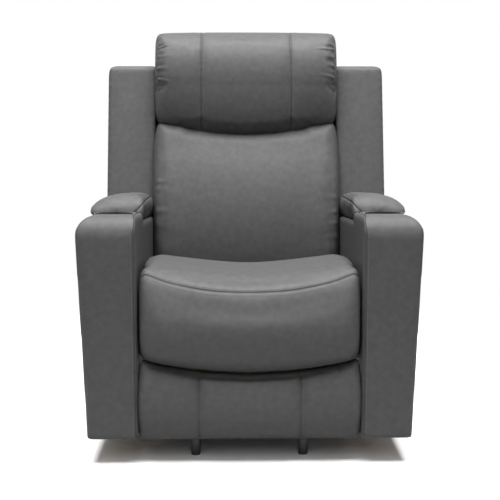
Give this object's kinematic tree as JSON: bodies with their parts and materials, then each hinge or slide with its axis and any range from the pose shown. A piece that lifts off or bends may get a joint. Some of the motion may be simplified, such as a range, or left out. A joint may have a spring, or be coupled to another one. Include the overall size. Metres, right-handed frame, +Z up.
{
  "type": "power lift recliner",
  "caption": "Powered armchair that reclines, raises a padded footrest and tilts forward on a lift linkage to help the sitter stand.",
  "frame": {"origin": "on the floor under the middle of the chair's bounding box", "axes": "+Z up, the sitter faces -Y, +X to the right as the viewer sees the front"},
  "size_m": [0.8603, 0.9113, 1.1391],
  "materials": {
    "leatherette": "matte grained leatherette, dark grey",
    "frame_wood": "raw plywood and pine",
    "black_steel": "black powder coat",
    "spring_steel": "drawn wire",
    "rod_steel": "ground rod",
    "motor_plastic": "black moulded plastic",
    "foot_plastic": "black moulded plastic",
    "stop_rubber": "black rubber",
    "webbing": "woven elastic webbing",
    "cup_finish": "glossy black moulding",
    "bin_lining": "black moulded tray",
    "switch_plastic": "black moulded plastic",
    "button_plastic": "grey moulded plastic"
  },
  "bodies": {
    "base": {"base_frame": "black_steel", "base_feet": "foot_plastic", "rest_stops": "stop_rubber"},
    "front_lift": {"lift_shaft": "black_steel", "front_lift_links": "black_steel"},
    "rear_lift": {"rear_lift_links": "black_steel"},
    "lift_drive": {"lift_motor": "motor_plastic", "lift_track": "motor_plastic"},
    "lift_piston": {"lift_rod": "rod_steel"},
    "chair": {"seat_frame": "frame_wood", "side_plates": "black_steel", "footrest_hinges": "black_steel", "motor_brackets": "black_steel", "seat_springs": "spring_steel", "seat_cushion": "leatherette", "footrest_motor": "motor_plastic", "footrest_track": "motor_plastic", "arm_bases": "frame_wood", "lid_hinges": "black_steel", "control_box": "motor_plastic", "switch_plate": "switch_plastic", "left_outer_panel": "leatherette", "left_inner_panel": "leatherette", "left_front_panel": "leatherette", "left_deck": "leatherette", "left_cup_holder": "cup_finish", "left_storage_bin": "bin_lining", "right_outer_panel": "leatherette", "right_inner_panel": "leatherette", "right_front_panel": "leatherette", "right_deck": "leatherette", "right_cup_holder": "cup_finish", "right_storage_bin": "bin_lining"},
    "backrest": {"back_cushion": "leatherette", "headrest_pillow": "leatherette", "left_wing": "leatherette", "right_wing": "leatherette", "back_cover": "leatherette", "back_frame": "frame_wood", "back_webbing": "webbing", "back_brackets": "black_steel", "recline_crank": "black_steel"},
    "recline_drive": {"recline_motor": "motor_plastic", "recline_track": "motor_plastic"},
    "recline_piston": {"recline_rod": "rod_steel"},
    "footrest": {"footrest_board": "frame_wood", "calf_roll": "leatherette", "footrest_pad": "leatherette", "footrest_brackets": "black_steel"},
    "footrest_rocker": {"rocker_shaft": "black_steel"},
    "footrest_push": {"push_bars": "black_steel"},
    "footrest_piston": {"footrest_rod": "rod_steel"},
    "left_lid": {"left_lid_board": "frame_wood", "left_lid_pad": "leatherette"},
    "right_lid": {"right_lid_board": "frame_wood", "right_lid_pad": "leatherette"},
    "button_lift": {"lift_button": "button_plastic"},
    "button_lower": {"lower_button": "button_plastic"},
    "button_recline": {"recline_button": "button_plastic"},
    "button_upright": {"upright_button": "button_plastic"}
  },
  "joints": [
    {"name": "lift", "type": "hinge", "parent": "base", "child": "front_lift", "pos_m": [0, -0.32341, 0.092], "axis": [1, 0, 0], "range_deg": [0, 36]},
    {"name": "chair_tilt", "type": "hinge", "parent": "front_lift", "child": "chair", "pos_m": [0, 0.12759, 0.142], "axis": [1, 0, 0], "range_deg": [-16.01, 0]},
    {"name": "rear_link_swing", "type": "hinge", "parent": "base", "child": "rear_lift", "pos_m": [0, -0.24641, 0.112], "axis": [1, 0, 0], "range_deg": [0, 37.82]},
    {"name": "lift_drive_swing", "type": "hinge", "parent": "base", "child": "lift_drive", "pos_m": [0, 0.22659, 0.096], "axis": [1, 0, 0], "range_deg": [0, 0.78098]},
    {"name": "lift_stroke", "type": "slide", "parent": "lift_drive", "child": "lift_piston", "axis": [0, -0.9849, 0.1729], "range_m": [0, 0.06166]},
    {"name": "recline", "type": "hinge", "parent": "chair", "child": "backrest", "pos_m": [0, 0.19659, 0.27], "axis": [-1, 0, 0], "range_deg": [0, 36]},
    {"name": "recline_drive_swing", "type": "hinge", "parent": "chair", "child": "recline_drive", "pos_m": [-0.095, -0.06141, 0.268], "axis": [1, 0, 0], "range_deg": [-4.62, 0]},
    {"name": "recline_stroke", "type": "slide", "parent": "recline_drive", "child": "recline_piston", "axis": [0, 0.9558, -0.2939], "range_m": [-0.05481, 0]},
    {"name": "footrest", "type": "hinge", "parent": "chair", "child": "footrest", "pos_m": [0, -0.37641, 0.37], "axis": [-1, 0, 0], "range_deg": [0, 80]},
    {"name": "rocker_swing", "type": "hinge", "parent": "chair", "child": "footrest_rocker", "pos_m": [0, -0.10641, 0.22], "axis": [-1, 0, 0], "range_deg": [0, 80.01]},
    {"name": "push_bar_swing", "type": "hinge", "parent": "footrest_rocker", "child": "footrest_push", "pos_m": [0, -0.05141, 0.125], "axis": [-1, 0, 0], "range_deg": [-80.01, 0]},
    {"name": "footrest_stroke", "type": "slide", "parent": "chair", "child": "footrest_piston", "axis": [0, 1, 0], "range_m": [0, 0.05055]},
    {"name": "left_lid", "type": "hinge", "parent": "chair", "child": "left_lid", "pos_m": [-0.419, -0.14316, 0.59429], "axis": [0, -0.9984, 0.0558], "range_deg": [0, 95]},
    {"name": "right_lid", "type": "hinge", "parent": "chair", "child": "right_lid", "pos_m": [0.419, -0.14316, 0.59429], "axis": [0, 0.9984, -0.0558], "range_deg": [0, 95]},
    {"name": "lift_button_press", "type": "slide", "parent": "chair", "child": "button_lift", "axis": [-0.9992, 0, 0.0407], "range_m": [0, 0.0015], "stiffness_N_per_m": 800, "springref_m": -0.0008},
    {"name": "lower_button_press", "type": "slide", "parent": "chair", "child": "button_lower", "axis": [-0.9992, 0, 0.0407], "range_m": [0, 0.0015], "stiffness_N_per_m": 800, "springref_m": -0.0008},
    {"name": "recline_button_press", "type": "slide", "parent": "chair", "child": "button_recline", "axis": [-0.9992, 0, 0.0407], "range_m": [0, 0.0015], "stiffness_N_per_m": 800, "springref_m": -0.0008},
    {"name": "upright_button_press", "type": "slide", "parent": "chair", "child": "button_upright", "axis": [-0.9992, 0, 0.0407], "range_m": [0, 0.0015], "stiffness_N_per_m": 800, "springref_m": -0.0008}
  ],
  "couplings": [
    {"joint": "chair_tilt", "follows": "lift", "ratio": -0.44444},
    {"joint": "rear_link_swing", "follows": "lift", "ratio": 1.0499},
    {"joint": "lift_drive_swing", "follows": "lift", "ratio": 0.020305},
    {"joint": "lift_stroke", "follows": "lift", "m_per_rad": 0.09782},
    {"joint": "recline_drive_swing", "follows": "recline", "ratio": -0.12684},
    {"joint": "recline_stroke", "follows": "recline", "m_per_rad": -0.08692},
    {"joint": "rocker_swing", "follows": "footrest", "ratio": 1},
    {"joint": "push_bar_swing", "follows": "footrest", "ratio": -1},
    {"joint": "footrest_stroke", "follows": "footrest", "m_per_rad": 0.036058}
  ]
}
